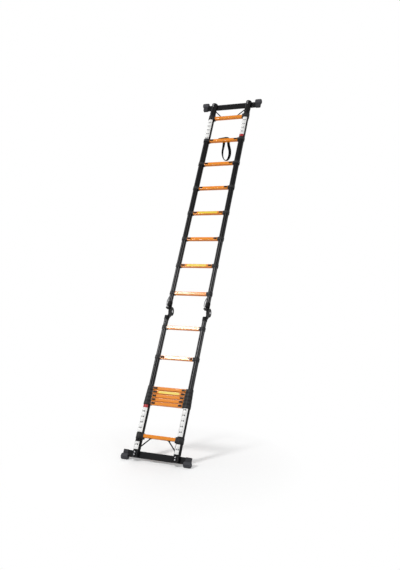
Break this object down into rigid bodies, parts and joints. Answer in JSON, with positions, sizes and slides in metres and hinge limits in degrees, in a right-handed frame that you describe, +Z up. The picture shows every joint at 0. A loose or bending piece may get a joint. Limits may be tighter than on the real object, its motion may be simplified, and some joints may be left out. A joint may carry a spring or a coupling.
{
  "type": "telescopic ladder",
  "caption": "Telescopic ladder of two hinged halves with round nested stiles, orange rungs with release buttons, and a footed stabiliser bar at each end.",
  "frame": {"origin": "on the floor, midway between the soles of the two lower feet", "axes": "+Z up from the floor, +X across the rungs to the climber's right, +Y towards the wall that the ladder leans on"},
  "size_m": [0.674, 1.9229, 3.4631],
  "materials": {
    "tube_black": "black anodised, glossy",
    "rung_orange": "orange anodised, satin",
    "button_black": "moulded",
    "foot_rubber": "moulded grey rubber",
    "zinc_steel": "zinc plated",
    "bar_black": "black powder coat",
    "end_plastic": "moulded",
    "hinge_black": "black coated casting",
    "strap_webbing": "woven webbing"
  },
  "bodies": {
    "lower_base": {"lower_stiles_1": "tube_black", "lower_rung_1": "rung_orange", "lower_rung_2": "rung_orange", "lower_bar": "bar_black", "lower_feet": "foot_rubber", "lower_bar_bolts": "zinc_steel", "lower_braces": "bar_black", "lower_stile_ends": "end_plastic"},
    "lower_section_2": {"lower_stiles_2": "tube_black", "lower_rung_3": "rung_orange"},
    "lower_section_3": {"lower_stiles_3": "tube_black", "lower_rung_4": "rung_orange"},
    "lower_section_4": {"lower_stiles_4": "tube_black", "lower_rung_5": "rung_orange"},
    "lower_section_5": {"lower_stiles_5": "tube_black", "lower_rung_6": "rung_orange"},
    "lower_section_6": {"lower_stiles_6": "tube_black", "lower_rung_7": "rung_orange"},
    "lower_section_7": {"lower_stiles_7": "tube_black", "lower_rung_8": "rung_orange", "hinge_lower_leaves": "hinge_black", "hinge_pins": "zinc_steel"},
    "lower_release_2": {"lower_buttons_2": "button_black"},
    "lower_release_3": {"lower_buttons_3": "button_black"},
    "lower_release_4": {"lower_buttons_4": "button_black"},
    "lower_release_5": {"lower_buttons_5": "button_black"},
    "lower_release_6": {"lower_buttons_6": "button_black"},
    "lower_release_7": {"lower_buttons_7": "button_black"},
    "upper_base": {"upper_stiles_1": "tube_black", "upper_rung_1": "rung_orange", "upper_rung_2": "rung_orange", "upper_bar": "bar_black", "upper_feet": "foot_rubber", "upper_bar_bolts": "zinc_steel", "upper_braces": "bar_black", "upper_stile_ends": "end_plastic", "carry_strap": "strap_webbing"},
    "upper_section_2": {"upper_stiles_2": "tube_black", "upper_rung_3": "rung_orange"},
    "upper_section_3": {"upper_stiles_3": "tube_black", "upper_rung_4": "rung_orange"},
    "upper_section_4": {"upper_stiles_4": "tube_black", "upper_rung_5": "rung_orange"},
    "upper_section_5": {"upper_stiles_5": "tube_black", "upper_rung_6": "rung_orange"},
    "upper_section_6": {"upper_stiles_6": "tube_black", "upper_rung_7": "rung_orange"},
    "upper_section_7": {"upper_stiles_7": "tube_black", "upper_rung_8": "rung_orange", "hinge_upper_leaves": "hinge_black"},
    "upper_release_2": {"upper_buttons_2": "button_black"},
    "upper_release_3": {"upper_buttons_3": "button_black"},
    "upper_release_4": {"upper_buttons_4": "button_black"},
    "upper_release_5": {"upper_buttons_5": "button_black"},
    "upper_release_6": {"upper_buttons_6": "button_black"},
    "upper_release_7": {"upper_buttons_7": "button_black"},
    "lever_left": {"lock_lever_left": "zinc_steel"},
    "lever_right": {"lock_lever_right": "zinc_steel"}
  },
  "joints": [
    {"name": "lower_slide_2", "type": "slide", "parent": "lower_base", "child": "lower_section_2", "axis": [0, 0.4787, 0.878], "range_m": [0, 0.265]},
    {"name": "lower_slide_3", "type": "slide", "parent": "lower_section_2", "child": "lower_section_3", "axis": [0, 0.4787, 0.878], "range_m": [0, 0.265]},
    {"name": "lower_slide_4", "type": "slide", "parent": "lower_section_3", "child": "lower_section_4", "axis": [0, 0.4787, 0.878], "range_m": [0, 0.265]},
    {"name": "lower_slide_5", "type": "slide", "parent": "lower_section_4", "child": "lower_section_5", "axis": [0, 0.4787, 0.878], "range_m": [0, 0.265]},
    {"name": "lower_slide_6", "type": "slide", "parent": "lower_section_5", "child": "lower_section_6", "axis": [0, 0.4787, 0.878], "range_m": [-0.265, 0]},
    {"name": "lower_slide_7", "type": "slide", "parent": "lower_section_6", "child": "lower_section_7", "axis": [0, 0.4787, 0.878], "range_m": [-0.265, 0]},
    {"name": "fold", "type": "hinge", "parent": "lower_section_7", "child": "upper_section_7", "pos_m": [0, 0.7252, 1.25229], "axis": [-1, 0, 0], "range_deg": [0, 180]},
    {"name": "upper_slide_7", "type": "slide", "parent": "upper_section_7", "child": "upper_section_6", "axis": [0, 0.4787, 0.878], "range_m": [-0.265, 0]},
    {"name": "upper_slide_6", "type": "slide", "parent": "upper_section_6", "child": "upper_section_5", "axis": [0, 0.4787, 0.878], "range_m": [-0.265, 0]},
    {"name": "upper_slide_5", "type": "slide", "parent": "upper_section_5", "child": "upper_section_4", "axis": [0, 0.4787, 0.878], "range_m": [-0.265, 0]},
    {"name": "upper_slide_4", "type": "slide", "parent": "upper_section_4", "child": "upper_section_3", "axis": [0, 0.4787, 0.878], "range_m": [-0.265, 0]},
    {"name": "upper_slide_3", "type": "slide", "parent": "upper_section_3", "child": "upper_section_2", "axis": [0, 0.4787, 0.878], "range_m": [-0.265, 0]},
    {"name": "upper_slide_2", "type": "slide", "parent": "upper_section_2", "child": "upper_base", "axis": [0, 0.4787, 0.878], "range_m": [-0.265, 0]},
    {"name": "lower_press_2", "type": "slide", "parent": "lower_base", "child": "lower_release_2", "axis": [0, 0.878, -0.4787], "range_m": [0, 0.004], "stiffness_N_per_m": 900},
    {"name": "lower_press_3", "type": "slide", "parent": "lower_section_2", "child": "lower_release_3", "axis": [0, 0.878, -0.4787], "range_m": [0, 0.004], "stiffness_N_per_m": 900},
    {"name": "lower_press_4", "type": "slide", "parent": "lower_section_3", "child": "lower_release_4", "axis": [0, 0.878, -0.4787], "range_m": [0, 0.004], "stiffness_N_per_m": 900},
    {"name": "lower_press_5", "type": "slide", "parent": "lower_section_4", "child": "lower_release_5", "axis": [0, 0.878, -0.4787], "range_m": [0, 0.004], "stiffness_N_per_m": 900},
    {"name": "lower_press_6", "type": "slide", "parent": "lower_section_5", "child": "lower_release_6", "axis": [0, 0.878, -0.4787], "range_m": [0, 0.004], "stiffness_N_per_m": 900},
    {"name": "lower_press_7", "type": "slide", "parent": "lower_section_6", "child": "lower_release_7", "axis": [0, 0.878, -0.4787], "range_m": [0, 0.004], "stiffness_N_per_m": 900},
    {"name": "upper_press_2", "type": "slide", "parent": "upper_base", "child": "upper_release_2", "axis": [0, 0.878, -0.4787], "range_m": [0, 0.004], "stiffness_N_per_m": 900},
    {"name": "upper_press_3", "type": "slide", "parent": "upper_section_2", "child": "upper_release_3", "axis": [0, 0.878, -0.4787], "range_m": [0, 0.004], "stiffness_N_per_m": 900},
    {"name": "upper_press_4", "type": "slide", "parent": "upper_section_3", "child": "upper_release_4", "axis": [0, 0.878, -0.4787], "range_m": [0, 0.004], "stiffness_N_per_m": 900},
    {"name": "upper_press_5", "type": "slide", "parent": "upper_section_4", "child": "upper_release_5", "axis": [0, 0.878, -0.4787], "range_m": [0, 0.004], "stiffness_N_per_m": 900},
    {"name": "upper_press_6", "type": "slide", "parent": "upper_section_5", "child": "upper_release_6", "axis": [0, 0.878, -0.4787], "range_m": [0, 0.004], "stiffness_N_per_m": 900},
    {"name": "upper_press_7", "type": "slide", "parent": "upper_section_6", "child": "upper_release_7", "axis": [0, 0.878, -0.4787], "range_m": [0, 0.004], "stiffness_N_per_m": 900},
    {"name": "lock_left", "type": "hinge", "parent": "upper_section_7", "child": "lever_left", "pos_m": [-0.22745, 0.69965, 1.28899], "axis": [0, -0.878, 0.4787], "range_deg": [0, 18], "stiffness_Nm_per_rad": 1.5},
    {"name": "lock_right", "type": "hinge", "parent": "upper_section_7", "child": "lever_right", "pos_m": [0.16755, 0.69965, 1.28899], "axis": [0, -0.878, 0.4787], "range_deg": [0, 18], "stiffness_Nm_per_rad": 1.5}
  ]
}
